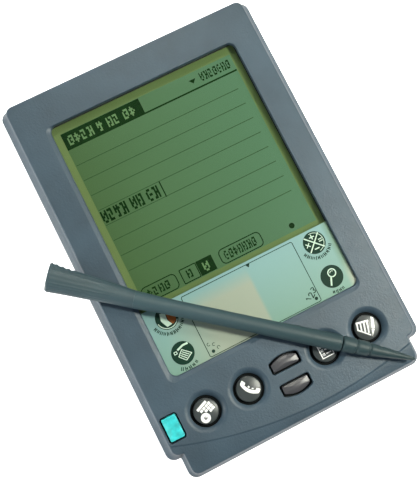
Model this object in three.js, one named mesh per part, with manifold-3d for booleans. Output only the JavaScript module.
// Personal digital assistant lying on its back, with its stylus across the face.
// Millimetres. X runs to the right, Y towards the top edge and Z up out of the screen.
// The origin is the middle of the back face.
import * as THREE from 'three';
import { mergeVertices } from 'three/addons/utils/BufferGeometryUtils.js';
import Module from 'manifold-3d';

const wasm = await Module();
wasm.setup();

// ---------------------------------------------------------------- driving dimensions
const LENGTH = 119.4;
const WIDTH = 81.3; // across the skirt, the widest line of the case
const THICKNESS = 17.6; // back face to front face
const FACE_WIDTH = 77.28;
const SPLIT = 9.4; // height of the parting line
const SEAM = 0.3; // gap between neighbouring mouldings
const PLATE = 1.5; // thickness of the front wall
const FLOOR = 1.5; // thickness of the back wall
const SIDE_WALL = 1.6;
const REAR_ROUND = 4.5; // radius round the back edge
const CORNER = 2.6;
const CHIN_WIDTH = 74.2;
const SHOULDER = -52.5; // where the wide body ends and the chin goes on

const TOP = LENGTH / 2;
const BOTTOM = -LENGTH / 2;
const FACE = THICKNESS;
const UNDER_PLATE = FACE - PLATE;

// The window, a little right of the middle of the face.
const WINDOW = { left: -29.75, right: 30.79, top: 48.89, bottom: -32.02, corner: 2.0, bevel: 0.45 };
const INPUT_AREA_TOP = -11.35;

// Buttons: places of the round ones, then the sizes of each kind.
const BUTTON_ROW = -43.9;
const ROUND_BUTTONS = { calendar_button: -25.06, phone_button: -11.52, task_button: 13.02, memo_button: 26.63 };
const ROUND_RADIUS = 3.9;
const BUTTON_GAP = 0.45;
const DISH_RADIUS = 5.75;
const DISH_DEPTH = 0.85;
const SCROLL = { x: 1.0, width: 8.4, flat: 2.1, side: 2.45, rise: 1.1, centre: -45.5 };
const POWER = { left: -37.5, right: -33.14, top: -40.4, bottom: -47.2, corner: 0.5 };
const FLANGE_TOP = UNDER_PLATE - SEAM;
const FLANGE_BOTTOM = FLANGE_TOP - 0.6;
const FLANGE_WIDTH = 0.85; // how far a flange reaches past its cap

// The crease above the chin is part of one large circle.
const CREASE = { x: 7.36, y: 71.8, radius: 128.2, step: 0.25, drop: 1.5 };

// Levels inside the case.
const TOUCH = { left: -31.7, right: 32.7, top: 50.9, bottom: -34.0, low: 14.9, high: 15.9 };
const OVERLAY_HIGH = 16.15;
const DISPLAY = { left: -31.0, right: 32.2, top: 50.2, bottom: -13.8, low: 12.8, high: 14.3 };
const BOARD = { left: -36.0, right: 32.6, top: 52.6, bottom: -20.5, low: 8.9, high: 10.1 };
const KEYPAD = { left: -37.2, right: 31.4, top: -37.6, bottom: -52.2, notch: 3.4, low: 13.4, high: 14.0 };
const DOME_HIGH = 14.55;
const CHIP_TOP = BOARD.low - 0.05;

// Two AAA cells lie side by side across the case.
const CELL = { radius: 5.25, length: 44.5, nub: 1.9, nubLength: 0.8, axis: 7.0, endGap: 1.4 };
const CELL_ROWS = { battery_upper: -29.8, battery_lower: -41.4 };
const BAY = { left: -28.6, right: 22.4, top: -24.0, bottom: -47.2, roof: 12.5, wall: 0.6, side: 1.1 };

const MEMORY_DOOR = { half: 24.0, bottom: 30.0, wrap: 4.6 };
const SCREW_X = 28.3;
const SCREW_ROWS = [55.3, -54.8];
const SILO = { x: 35.0, z: 5.5, inner: 2.95, outer: 3.4, bottom: -46.5, top: 59.0 };
const WHEEL = { x: -34.6, y: 24.0, radius: 6.0, low: 5.3, high: 7.7, bore: 1.5 };
const RESET = { x: 22.0, y: -8.0, hole: 1.2 };
const SPEAKER = { x: -20.0, y: 10.0, radius: 8.0 };
const PORT = { half: 12.0, low: 3.2, high: 7.8 };

// The stylus: one straight axis from the middle of the cap's end to the point.
const STYLUS = { x: -48.6, y: 8.6, angle: -38.7, length: 106.0, rise: 2.75 };
const CAP_LENGTH = 25.0;
const BARREL_END = 84.5;

// ---------------------------------------------------------------- helpers
function closed(geometry) {
  geometry.deleteAttribute('normal');
  geometry.deleteAttribute('uv');
  return mergeVertices(geometry, 1e-4);
}

function solid(geometry) {
  const merged = closed(geometry.clone());
  const vertProperties = new Float32Array(merged.attributes.position.array);
  const triVerts = new Uint32Array(merged.index.array);
  return new wasm.Manifold(new wasm.Mesh({ numProp: 3, vertProperties, triVerts }));
}

function toGeometry(manifold) {
  const mesh = manifold.getMesh();
  const geometry = new THREE.BufferGeometry();
  geometry.setAttribute('position', new THREE.BufferAttribute(mesh.vertProperties, 3));
  geometry.setIndex(new THREE.BufferAttribute(mesh.triVerts, 1));
  return geometry;
}

function join(...geometries) {
  const [first, ...rest] = geometries.map(solid);
  return toGeometry(rest.reduce((whole, next) => whole.add(next), first));
}

function cut(geometry, ...tools) {
  return toGeometry(tools.reduce((left, tool) => left.subtract(solid(tool)), solid(geometry)));
}

function common(first, second) {
  return toGeometry(solid(first).intersect(solid(second)));
}

function box(x0, x1, y0, y1, z0, z1) {
  const geometry = new THREE.BoxGeometry(x1 - x0, y1 - y0, z1 - z0);
  return geometry.translate((x0 + x1) / 2, (y0 + y1) / 2, (z0 + z1) / 2);
}

function disc(x, y, radius, z0, z1, sides = 24) {
  const geometry = new THREE.CylinderGeometry(radius, radius, z1 - z0, sides);
  return geometry.rotateX(Math.PI / 2).translate(x, y, (z0 + z1) / 2);
}

// A solid of revolution round a line parallel to Z, from [radius, height] pairs.
function turned(profile, x, y, sides = 24) {
  const points = profile.map(([radius, height]) => new THREE.Vector2(radius, height));
  return new THREE.LatheGeometry(points, sides).rotateX(Math.PI / 2).translate(x, y, 0);
}

function roundedShape(x0, y0, x1, y1, radius) {
  const shape = new THREE.Shape();
  shape.moveTo(x0 + radius, y0);
  shape.lineTo(x1 - radius, y0);
  shape.absarc(x1 - radius, y0 + radius, radius, -Math.PI / 2, 0);
  shape.lineTo(x1, y1 - radius);
  shape.absarc(x1 - radius, y1 - radius, radius, 0, Math.PI / 2);
  shape.lineTo(x0 + radius, y1);
  shape.absarc(x0 + radius, y1 - radius, radius, Math.PI / 2, Math.PI);
  shape.lineTo(x0, y0 + radius);
  shape.absarc(x0 + radius, y0 + radius, radius, Math.PI, Math.PI * 1.5);
  return shape;
}

function slab(shape, z0, z1, curveSegments = 5) {
  const geometry = new THREE.ExtrudeGeometry(shape, { depth: z1 - z0, bevelEnabled: false, curveSegments });
  return geometry.translate(0, 0, z0);
}

function roundedSlab(area, grow, radius, z0, z1) {
  const shape = roundedShape(area.left - grow, area.bottom - grow, area.right + grow, area.top + grow, radius);
  return slab(shape, z0, z1);
}

// A closed body through rings of points, all with the same count. Seen from the last ring's side,
// each ring runs anticlockwise.
function loft(rings) {
  const count = rings[0].length;
  const positions = rings.flat(2);
  const index = [];
  for (let ring = 0; ring < rings.length - 1; ring += 1) {
    for (let i = 0; i < count; i += 1) {
      const a = ring * count + i;
      const b = ring * count + ((i + 1) % count);
      index.push(a, b, b + count, a, b + count, a + count);
    }
  }
  const last = (rings.length - 1) * count;
  for (let i = 1; i < count - 1; i += 1) {
    index.push(0, i + 1, i);
    index.push(last, last + i, last + i + 1);
  }
  const geometry = new THREE.BufferGeometry();
  geometry.setAttribute('position', new THREE.Float32BufferAttribute(positions, 3));
  geometry.setIndex(index);
  return geometry;
}

// One level of a rounded box, anticlockwise seen from above.
function roundedRing(x0, x1, y0, y1, radius, z, steps = 5) {
  const centres = [[x1 - radius, y0 + radius], [x1 - radius, y1 - radius],
    [x0 + radius, y1 - radius], [x0 + radius, y0 + radius]];
  const ring = [];
  centres.forEach(([cx, cy], quarter) => {
    for (let i = 0; i <= steps; i += 1) {
      const angle = ((quarter - 1 + i / steps) * Math.PI) / 2;
      ring.push([cx + radius * Math.cos(angle), cy + radius * Math.sin(angle), z]);
    }
  });
  return ring;
}

// A flat strip of cable: a path in Y and Z, made thick and carried along X.
function ribbon(path, x0, x1, thick) {
  const points = path.map(([y, z]) => new THREE.Vector2(y, z));
  const sides = [1, -1].map((side) => points.map((point, i) => {
    const before = points[Math.max(i - 1, 0)];
    const after = points[Math.min(i + 1, points.length - 1)];
    const along = after.clone().sub(before).normalize();
    return new THREE.Vector2(point.x - (side * thick * along.y) / 2, point.y + (side * thick * along.x) / 2);
  }));
  const outline = new THREE.Shape([...sides[0], ...sides[1].reverse()]);
  const geometry = new THREE.ExtrudeGeometry(outline, { depth: x1 - x0, bevelEnabled: false });
  // The outline's X and Y become the case's Y and Z, and its depth becomes X.
  const turn = new THREE.Matrix4().makeBasis(
    new THREE.Vector3(0, 1, 0), new THREE.Vector3(0, 0, 1), new THREE.Vector3(1, 0, 0));
  return geometry.applyMatrix4(turn).translate(x0, 0, 0);
}

const group = new THREE.Group();

function finish(color, roughness, metalness = 0) {
  return new THREE.MeshStandardMaterial({ color, roughness, metalness });
}

function add(name, geometry, material, parent = group) {
  const mesh = new THREE.Mesh(closed(geometry), material);
  mesh.name = name;
  parent.add(mesh);
  return mesh;
}

const casing = () => finish(0x5d6f7a, 0.5);
const board = () => finish(0x1f5a38, 0.5);
const chip = () => finish(0x1b1c1e, 0.45);
const steel = () => finish(0xb4b7b9, 0.3, 1);
const film = () => finish(0xb4702c, 0.45);

// ---------------------------------------------------------------- outer form of the case
// Each level is [height, side inset, top inset, bottom inset, corner radius].
function caseForm(levels) {
  const main = levels.map(([z, side, top, bottom, radius]) => roundedRing(
    side - WIDTH / 2, WIDTH / 2 - side, SHOULDER + bottom, TOP - top, radius, z));
  const chin = levels.map(([z, side, , bottom, radius]) => roundedRing(
    side * 0.65 - CHIN_WIDTH / 2, CHIN_WIDTH / 2 - side * 0.65, BOTTOM + bottom, SHOULDER + 12, radius, z));
  return join(loft(main), loft(chin));
}

const FLARE = (WIDTH - FACE_WIDTH) / 2;
const EDGE = 0.8; // rounding where the face meets the side walls

function frontForm() {
  const levels = [[SPLIT + SEAM / 2, 0, 0, 0, CORNER], [FACE - EDGE, FLARE, 0.25, 1.1, CORNER - 0.4]];
  for (const angle of [30, 60, 90]) {
    const radians = THREE.MathUtils.degToRad(angle);
    const inset = 0.5 * (1 - Math.cos(radians));
    levels.push([FACE - EDGE * (1 - Math.sin(radians)), FLARE + inset, 0.25 + inset, 1.1 + inset,
      CORNER - 0.4 - inset]);
  }
  return caseForm(levels);
}

function rearForm() {
  const levels = [];
  const draft = 0.5;
  for (const angle of [0, 22.5, 45, 67.5, 90]) {
    const radians = THREE.MathUtils.degToRad(angle);
    const inset = draft + REAR_ROUND * (1 - Math.sin(radians));
    levels.push([REAR_ROUND * (1 - Math.cos(radians)), inset, inset, inset, CORNER + 1.2]);
  }
  levels.push([SPLIT - SEAM / 2, 0, 0, 0, CORNER]);
  return caseForm(levels);
}

function rearCavity() {
  const deep = SIDE_WALL + 0.5;
  const levels = [
    [FLOOR, deep + 2.6, deep + 2.6, deep + 2.6, 2.0],
    [FLOOR + 1.0, deep + 0.9, deep + 0.9, deep + 0.9, 2.0],
    [REAR_ROUND, deep, deep, deep, 2.0],
    [SPLIT + 1, SIDE_WALL, SIDE_WALL, SIDE_WALL, 2.0],
  ];
  return caseForm(levels);
}

// ---------------------------------------------------------------- button outlines
function scrollShape(direction, grow) {
  const half = SCROLL.width / 2 + grow;
  const flat = SCROLL.flat - grow;
  const side = SCROLL.flat + SCROLL.side + grow;
  const top = side + SCROLL.rise;
  const place = (x, y) => new THREE.Vector2(SCROLL.x + x, SCROLL.centre + direction * y);
  const arch = [];
  const steps = 8;
  for (let i = 0; i <= steps; i += 1) {
    const across = 1 - (2 * i) / steps;
    arch.push(place(across * half, side + (top - side) * (1 - across * across)));
  }
  return new THREE.Shape([place(-half, flat), place(half, flat), ...arch]);
}

function powerShape(grow) {
  return roundedShape(POWER.left - grow, POWER.bottom - grow, POWER.right + grow, POWER.top + grow,
    POWER.corner);
}

// ---------------------------------------------------------------- front case
function chinCutter() {
  const rings = [];
  const steps = 20;
  for (let i = 0; i <= steps; i += 1) {
    const x = (i / steps - 0.5) * (CHIN_WIDTH + 12);
    const y = CREASE.y - Math.sqrt(CREASE.radius ** 2 - (x - CREASE.x) ** 2);
    rings.push([
      [x, BOTTOM - 1, FACE + 3],
      [x, BOTTOM - 1, FACE - CREASE.drop],
      [x, y, FACE - CREASE.step],
      [x, y, FACE + 3],
    ]);
  }
  return loft(rings);
}

function frontCavity() {
  const low = SPLIT - 2;
  const main = loft([
    roundedRing(-39.0, 39.0, -50.7, 58.1, 1.6, low),
    roundedRing(-37.2, 37.2, -49.8, 57.7, 1.6, UNDER_PLATE),
  ]);
  const chin = box(-34.2, 34.2, -53.0, -40, low, UNDER_PLATE);
  const lip = box(-34.2, 34.2, -57.6, -50, low, 14.4);
  return join(main, chin, lip);
}

function frontCase() {
  const hollow = cut(frontForm(), chinCutter(), frontCavity());
  const bosses = [];
  const holes = [];
  for (const y of SCREW_ROWS) {
    for (const x of [-SCREW_X, SCREW_X]) {
      bosses.push(disc(x, y, 2.2, 7.0, 14.6, 16));
      holes.push(disc(x, y, 1.1, 6.0, 13.4, 12));
    }
  }
  const stems = SCREW_ROWS.slice(0, 1).flatMap((y) => [-SCREW_X, SCREW_X].map(
    (x) => disc(x, y, 2.2, 14.0, UNDER_PLATE + 0.4, 16)));
  const withBosses = join(hollow, ...bosses, ...stems);
  const windowHole = roundedSlab(WINDOW, 0, WINDOW.corner, SPLIT, FACE + 1);
  const bevel = loft([
    roundedRing(WINDOW.left, WINDOW.right, WINDOW.bottom, WINDOW.top, WINDOW.corner, FACE - WINDOW.bevel),
    roundedRing(WINDOW.left - WINDOW.bevel * 2, WINDOW.right + WINDOW.bevel * 2, WINDOW.bottom - WINDOW.bevel * 2,
      WINDOW.top + WINDOW.bevel * 2, WINDOW.corner + WINDOW.bevel * 2, FACE + WINDOW.bevel),
  ]);
  const dishes = Object.values(ROUND_BUTTONS).map((x) => turned([
    [0, SPLIT],
    [ROUND_RADIUS + BUTTON_GAP, SPLIT],
    [ROUND_RADIUS + BUTTON_GAP, FACE - DISH_DEPTH],
    [(ROUND_RADIUS + BUTTON_GAP) * 0.4 + DISH_RADIUS * 0.6, FACE - DISH_DEPTH * 0.3],
    [DISH_RADIUS, FACE],
    [DISH_RADIUS, FACE + 1],
    [0, FACE + 1],
  ], x, BUTTON_ROW, 28));
  const scrolls = [1, -1].map((direction) => slab(scrollShape(direction, BUTTON_GAP), SPLIT, FACE + 1));
  const power = slab(powerShape(BUTTON_GAP), 12.5, FACE + 1);
  return cut(withBosses, ...holes, windowHole, bevel, ...dishes, ...scrolls, power);
}

add('front_case', frontCase(), casing());

// ---------------------------------------------------------------- rear case and its doors
function doorBlock(grow) {
  return box(-MEMORY_DOOR.half - grow, MEMORY_DOOR.half + grow, MEMORY_DOOR.bottom - grow, TOP + 5,
    -1, MEMORY_DOOR.wrap + grow);
}

function portBlock(grow) {
  return box(-PORT.half - grow, PORT.half + grow, BOTTOM - 5, BOTTOM + SIDE_WALL + 1.5,
    PORT.low - grow, PORT.high + grow);
}

function rearCase() {
  const shell = cut(rearForm(), rearCavity());
  const bayBlock = box(BAY.left - BAY.side, BAY.right + BAY.side, BAY.bottom - BAY.side, BAY.top + BAY.side,
    FLOOR / 2, BAY.roof + BAY.wall);
  const bayHollow = box(BAY.left, BAY.right, BAY.bottom, BAY.top, -1, BAY.roof);
  const posts = [];
  const holes = [];
  for (const y of SCREW_ROWS) {
    for (const x of [-SCREW_X, SCREW_X]) {
      posts.push(disc(x, y, 2.6, FLOOR / 2, 6.7, 16));
      holes.push(turned([[0, -1], [2.1, -1], [2.1, 2.6], [1.1, 2.6], [1.1, 8], [0, 8]], x, y, 16));
    }
  }
  const grille = [-2, -1, 0, 1, 2].map((row) => {
    const half = 4.2 - Math.abs(row) * 0.8;
    const y = SPEAKER.y + row * 2.2;
    return box(SPEAKER.x - half, SPEAKER.x + half, y - 0.45, y + 0.45, -1, FLOOR + 1);
  });
  const siloHole = disc(0, 0, SILO.outer + 0.2, 0, 6, 20).rotateX(Math.PI / 2)
    .translate(SILO.x, TOP + 2, SILO.z);
  const wheelSlot = box(-WIDTH, -36.5, WHEEL.y - 4.9, WHEEL.y + 4.9, WHEEL.low - 0.4, WHEEL.high + 0.4);
  const resetHole = disc(RESET.x, RESET.y, RESET.hole, -1, FLOOR + 1, 12);
  return cut(join(shell, bayBlock, ...posts), bayHollow, ...holes, ...grille, siloHole, wheelSlot, resetHole,
    doorBlock(SEAM), portBlock(SEAM));
}

add('rear_case', rearCase(), casing());
add('memory_door', cut(common(rearForm(), doorBlock(0)), rearCavity()), casing());
add('connector_cover', cut(common(rearForm(), portBlock(0)), rearCavity()), casing());

const batteryDoor = slab(roundedShape(BAY.left + SEAM, BAY.bottom + SEAM, BAY.right - SEAM, BAY.top - SEAM, 0.8),
  0, 1.3, 3);
add('battery_door', batteryDoor, casing());

// ---------------------------------------------------------------- buttons
for (const [name, x] of Object.entries(ROUND_BUTTONS)) {
  const crown = FACE - 0.25;
  const profile = [
    [0, FLANGE_BOTTOM],
    [ROUND_RADIUS + BUTTON_GAP + FLANGE_WIDTH, FLANGE_BOTTOM],
    [ROUND_RADIUS + BUTTON_GAP + FLANGE_WIDTH, FLANGE_TOP],
    [ROUND_RADIUS, FLANGE_TOP],
    [ROUND_RADIUS, crown - 0.5],
    [ROUND_RADIUS - 0.15, crown - 0.2],
    [ROUND_RADIUS - 0.5, crown - 0.05],
    [ROUND_RADIUS * 0.5, crown + 0.05],
    [0, crown + 0.08],
  ];
  add(name, turned(profile, x, BUTTON_ROW, 28), finish(0x3a4048, 0.25));
}

for (const [name, direction] of [['scroll_up_button', 1], ['scroll_down_button', -1]]) {
  const cap = slab(scrollShape(direction, 0), FLANGE_BOTTOM, FACE - 0.2);
  const flange = slab(scrollShape(direction, BUTTON_GAP + FLANGE_WIDTH), FLANGE_BOTTOM, FLANGE_TOP);
  add(name, join(cap, flange), finish(0x3a4048, 0.25));
}

const powerFlange = box(POWER.left + 0.7, POWER.right + 0.9, POWER.bottom - 0.9, POWER.top + 0.9,
  FLANGE_BOTTOM, FLANGE_TOP);
add('power_button', join(slab(powerShape(0), FLANGE_BOTTOM, FACE - 0.1), powerFlange), finish(0x46d2d2, 0.35));

// ---------------------------------------------------------------- touch panel and display
add('touch_panel', box(TOUCH.left, TOUCH.right, TOUCH.bottom, TOUCH.top, TOUCH.low, TOUCH.high),
  finish(0xcfe0d6, 0.1));

const overlayShape = roundedShape(WINDOW.left + 0.1, WINDOW.bottom + 0.1, WINDOW.right - 0.1,
  INPUT_AREA_TOP + 4, 1.8);
const overlayBlank = slab(overlayShape, TOUCH.high + 0.05, OVERLAY_HIGH);
add('input_overlay', cut(overlayBlank, box(-40, 40, INPUT_AREA_TOP, 0, 10, 20)), finish(0xa9d3c0, 0.35));

const gasketOuter = box(TOUCH.left, TOUCH.right, INPUT_AREA_TOP - 4, TOUCH.top, 14.4, 14.8);
const gasketHole = box(WINDOW.left - 0.1, WINDOW.right + 0.1, INPUT_AREA_TOP - 0.3, WINDOW.top + 0.1, 14, 15);
add('display_gasket', cut(gasketOuter, gasketHole), finish(0x2a2b2c, 0.9));

add('display_glass', box(DISPLAY.left, DISPLAY.right, DISPLAY.bottom, DISPLAY.top, DISPLAY.low, DISPLAY.high),
  finish(0x5f8563, 0.2));

const tray = box(DISPLAY.left - 1.5, DISPLAY.right + 1.5, DISPLAY.bottom - 1.5, DISPLAY.top + 1.5, 10.9, 14.1);
const trayPocket = box(DISPLAY.left - 0.3, DISPLAY.right + 0.3, DISPLAY.bottom - 0.3, DISPLAY.top + 0.3, 11.7, 15);
add('display_frame', cut(tray, trayPocket), finish(0xd8dad6, 0.5));
add('backlight_panel', box(DISPLAY.left + 0.2, DISPLAY.right - 0.2, DISPLAY.bottom + 0.2, DISPLAY.top - 0.2,
  12.0, 12.6), finish(0xe8efe6, 0.4));

// ---------------------------------------------------------------- keypad
// The keypad's outline, notched where the case narrows to the chin.
function keypadSlab(z0, z1) {
  const outline = [[KEYPAD.left + KEYPAD.notch, KEYPAD.bottom], [KEYPAD.right, KEYPAD.bottom],
    [KEYPAD.right, KEYPAD.top], [KEYPAD.left, KEYPAD.top],
    [KEYPAD.left, KEYPAD.bottom + KEYPAD.notch], [KEYPAD.left + KEYPAD.notch, KEYPAD.bottom + KEYPAD.notch]];
  return slab(new THREE.Shape(outline.map(([x, y]) => new THREE.Vector2(x, y))), z0, z1);
}

add('keypad_board', keypadSlab(KEYPAD.low, KEYPAD.high), board());

const domePlaces = Object.values(ROUND_BUTTONS).map((x) => [x, BUTTON_ROW]);
domePlaces.push([SCROLL.x, SCROLL.centre + 3.7], [SCROLL.x, SCROLL.centre - 3.7]);
domePlaces.push([(POWER.left + POWER.right) / 2, (POWER.top + POWER.bottom) / 2]);
const sheet = keypadSlab(KEYPAD.high + 0.05, KEYPAD.high + 0.25);
const domes = domePlaces.map(([x, y]) => turned([[0, KEYPAD.high + 0.1], [2.1, KEYPAD.high + 0.1],
  [1.4, DOME_HIGH], [0, DOME_HIGH]], x, y, 12));
add('keypad_mat', join(sheet, ...domes), finish(0xb9bfc0, 0.8));

// ---------------------------------------------------------------- main board and what it carries
add('main_board', box(BOARD.left, BOARD.right, BOARD.bottom, BOARD.top, BOARD.low, BOARD.high), board());
add('processor_chip', box(-19, -5, 16, 30, CHIP_TOP - 1.4, CHIP_TOP), chip());
add('controller_chip', box(4, 14, 6, 24, CHIP_TOP - 1.2, CHIP_TOP), chip());
add('clock_crystal', slab(roundedShape(-4, -12, 4, -8.4, 1.7), CHIP_TOP - 1.9, CHIP_TOP), steel());
add('backup_capacitor', disc(-26, -12, 3.2, CHIP_TOP - 3.8, CHIP_TOP, 20), finish(0x2c3a66, 0.4));
add('memory_socket', box(-18, 18, 46.4, 49.6, 5.45, CHIP_TOP), finish(0x26282a, 0.6));
add('memory_card', box(-21, 21, 33, 50, 4.4, 5.4), board());
add('memory_chip_left', box(-17, -3, 35, 44.5, 3.1, 4.35), chip());
add('memory_chip_right', box(3, 17, 35, 44.5, 3.1, 4.35), chip());
add('reset_switch', box(RESET.x - 2, RESET.x + 2, RESET.y - 2, RESET.y + 2, 7.4, CHIP_TOP),
  finish(0x3a3c3e, 0.5));
add('reset_button', turned([[0, 0.8], [0.8, 0.8], [0.8, 2.0], [1.7, 2.0], [1.7, 2.6], [0.8, 2.6], [0.8, 6.8],
  [0, 6.8]], RESET.x, RESET.y, 12), finish(0x8a9094, 0.5));
add('speaker_disc', disc(SPEAKER.x, SPEAKER.y, SPEAKER.radius, 1.8, 2.5, 28), finish(0xc9a24a, 0.35, 1));

add('contrast_wheel', turned([[WHEEL.bore, WHEEL.low], [WHEEL.radius, WHEEL.low], [WHEEL.radius, WHEEL.high],
  [WHEEL.bore, WHEEL.high], [WHEEL.bore, WHEEL.low]], WHEEL.x, WHEEL.y, 36), finish(0x2b2e31, 0.6));
add('contrast_control', turned([[0, 5.0], [1.2, 5.0], [1.2, 7.95], [3.2, 7.95], [3.2, CHIP_TOP], [0, CHIP_TOP]],
  WHEEL.x, WHEEL.y, 16), finish(0x3a3c3e, 0.5));

const portBody = box(-10, 10, -56.4, -51.6, 3.5, 7.3);
const portSlot = box(-8.6, 8.6, -60, -54.4, 4.6, 6.2);
add('serial_connector', cut(portBody, portSlot), finish(0x202224, 0.5));

// ---------------------------------------------------------------- flat cables
add('display_cable', ribbon([[-15.7, 13.8], [-17.2, 13.6], [-18.2, 12.8], [-18.2, 11.4], [-17.2, 10.5],
  [-15.7, 10.35]], -20, 20, 0.2), film());
add('touch_cable', ribbon([[-33.4, 14.65], [-27.5, 14.5], [-22.5, 13.6], [-20.4, 12.0], [-19.6, 10.6],
  [-18.4, 10.35]], 24, 31, 0.2), film());
add('keypad_cable', ribbon([[-37.3, 13.7], [-31, 13.2], [-24.5, 11.4], [-21, 10.5], [-18, 10.35]],
  -36.5, -31, 0.2), film());

// ---------------------------------------------------------------- cells and contacts
// A cell with its foot at the origin and its nub towards +X.
function cell() {
  const body = CELL.length - CELL.nubLength;
  const profile = [[0, 0], [CELL.radius - 0.4, 0], [CELL.radius, 0.4], [CELL.radius, body - 0.4],
    [CELL.radius - 0.4, body], [CELL.nub, body], [CELL.nub, CELL.length], [0, CELL.length]];
  const points = profile.map(([radius, height]) => new THREE.Vector2(radius, height));
  return new THREE.LatheGeometry(points, 24).rotateZ(-Math.PI / 2);
}

const SPRING = { turns: 2.75, length: BAY.right - BAY.left - CELL.endGap - CELL.length - 1.0, wire: 0.3 };

class SpringWire extends THREE.Curve {
  getPoint(t) {
    const angle = t * Math.PI * 2 * SPRING.turns;
    const radius = 2.9 - 1.1 * t;
    return new THREE.Vector3(SPRING.length * t, radius * Math.cos(angle), radius * Math.sin(angle));
  }
}

function spring() {
  const wire = new THREE.Shape();
  wire.absarc(0, 0, SPRING.wire, 0, Math.PI * 2);
  const options = { steps: 40, curveSegments: 3, bevelEnabled: false, extrudePath: new SpringWire() };
  return new THREE.ExtrudeGeometry(wire, options);
}

// Each row is built with its spring on the left, and the lower one is then turned end for end.
Object.entries(CELL_ROWS).forEach(([name, y], row) => {
  const middle = (BAY.left + BAY.right) / 2;
  const pieces = {
    [name]: [cell().translate(BAY.right - CELL.endGap - CELL.length - middle, 0, 0), finish(0x3d4a86, 0.3, 0.6)],
    [name.replace('battery', 'spring_contact')]: [spring().translate(BAY.left + 0.45 - middle, 0, 0), steel()],
    [name.replace('battery', 'plate_contact')]: [
      box(BAY.right - 1.0 - middle, BAY.right - 0.4 - middle, -3, 3, -3, 3), steel()],
  };
  Object.entries(pieces).forEach(([pieceName, [geometry, material]]) => {
    if (row === 1) geometry.rotateZ(Math.PI);
    add(pieceName, geometry.translate(middle, y, CELL.axis), material);
  });
});

// ---------------------------------------------------------------- screws
const SCREW_NAMES = [['case_screw_top_left', 'case_screw_top_right'],
  ['case_screw_bottom_left', 'case_screw_bottom_right']];
SCREW_ROWS.forEach((y, row) => {
  [-SCREW_X, SCREW_X].forEach((x, side) => {
    const socket = disc(x, y, 0.7, 0, 1.6, 6);
    const screw = turned([[0, 0.9], [1.8, 0.9], [1.8, 2.3], [0.8, 2.3], [0.8, 12.6], [0, 12.6]], x, y, 16);
    add(SCREW_NAMES[row][side], cut(screw, socket), steel());
  });
});

// ---------------------------------------------------------------- stylus silo and stylus
add('stylus_silo', new THREE.LatheGeometry([
  [0, SILO.bottom],
  [SILO.outer, SILO.bottom],
  [SILO.outer, SILO.top],
  [SILO.inner, SILO.top],
  [SILO.inner, SILO.bottom + 1],
  [0, SILO.bottom + 1],
].map(([radius, height]) => new THREE.Vector2(radius, height)), 20).translate(SILO.x, 0, SILO.z),
finish(0x3c464e, 0.5));

// In the stylus's own frame Y runs along it from the cap's end to the point,
// and X points to the side that the cap flares to.
const stylus = new THREE.Group();
stylus.position.set(STYLUS.x, STYLUS.y, FACE + STYLUS.rise);
stylus.rotation.z = THREE.MathUtils.degToRad(STYLUS.angle - 90);
group.add(stylus);

function along(profile, sides = 24) {
  return new THREE.LatheGeometry(profile.map(([radius, height]) => new THREE.Vector2(radius, height)), sides);
}

// Widths of the cap on its flared side, on its straight side and its half height, at places along it.
const CAP_STATIONS = [
  [0, 5.15, 2.7, 2.0],
  [0.5, 5.45, 2.95, 2.35],
  [6, 4.6, 2.75, 2.5],
  [12, 3.95, 2.65, 2.5],
  [18, 3.45, 2.55, 2.5],
  [22, 3.0, 2.55, 2.5],
  [CAP_LENGTH, 2.6, 2.55, 2.5],
];

function stylusCap() {
  const sides = 28;
  const rings = CAP_STATIONS.map(([y, flared, straight, high]) => {
    const ring = [];
    for (let i = 0; i < sides; i += 1) {
      const angle = (-i / sides) * Math.PI * 2;
      const reach = Math.cos(angle) < 0 ? flared : straight;
      ring.push([reach * Math.cos(angle), y, high * Math.sin(angle)]);
    }
    return ring;
  });
  return cut(loft(rings), along([[0, 14], [0.8, 14], [0.8, CAP_LENGTH + 1], [0, CAP_LENGTH + 1]], 12));
}

add('stylus_cap', stylusCap(), finish(0x46585f, 0.45), stylus);

const barrelStart = CAP_LENGTH + SEAM;
add('stylus_barrel', along([[0, 62], [1.2, 62], [1.2, barrelStart], [2.55, barrelStart], [2.35, 30], [2.28, 36],
  [2.26, 58], [2.42, 78], [2.42, BARREL_END - 0.4], [2.2, BARREL_END], [0, BARREL_END]]),
finish(0x46585f, 0.4), stylus);

const tipStart = BARREL_END + SEAM;
add('stylus_tip', along([[0, tipStart], [2.05, tipStart], [2.25, tipStart + 0.4], [2.2, 88.4], [1.95, 88.7],
  [1.95, 89.0], [2.1, 89.3], [2.0, 92.2], [1.7, 92.5], [1.7, 92.9], [1.8, 93.2], [0.6, 104.6],
  [0.35, STYLUS.length - 0.1], [0, STYLUS.length]]), finish(0x3f5258, 0.35), stylus);

add('reset_pin', along([[0, 15], [0.45, 15], [0.45, 44], [0.15, 46], [0, 46]], 10), steel(), stylus);

export default group;
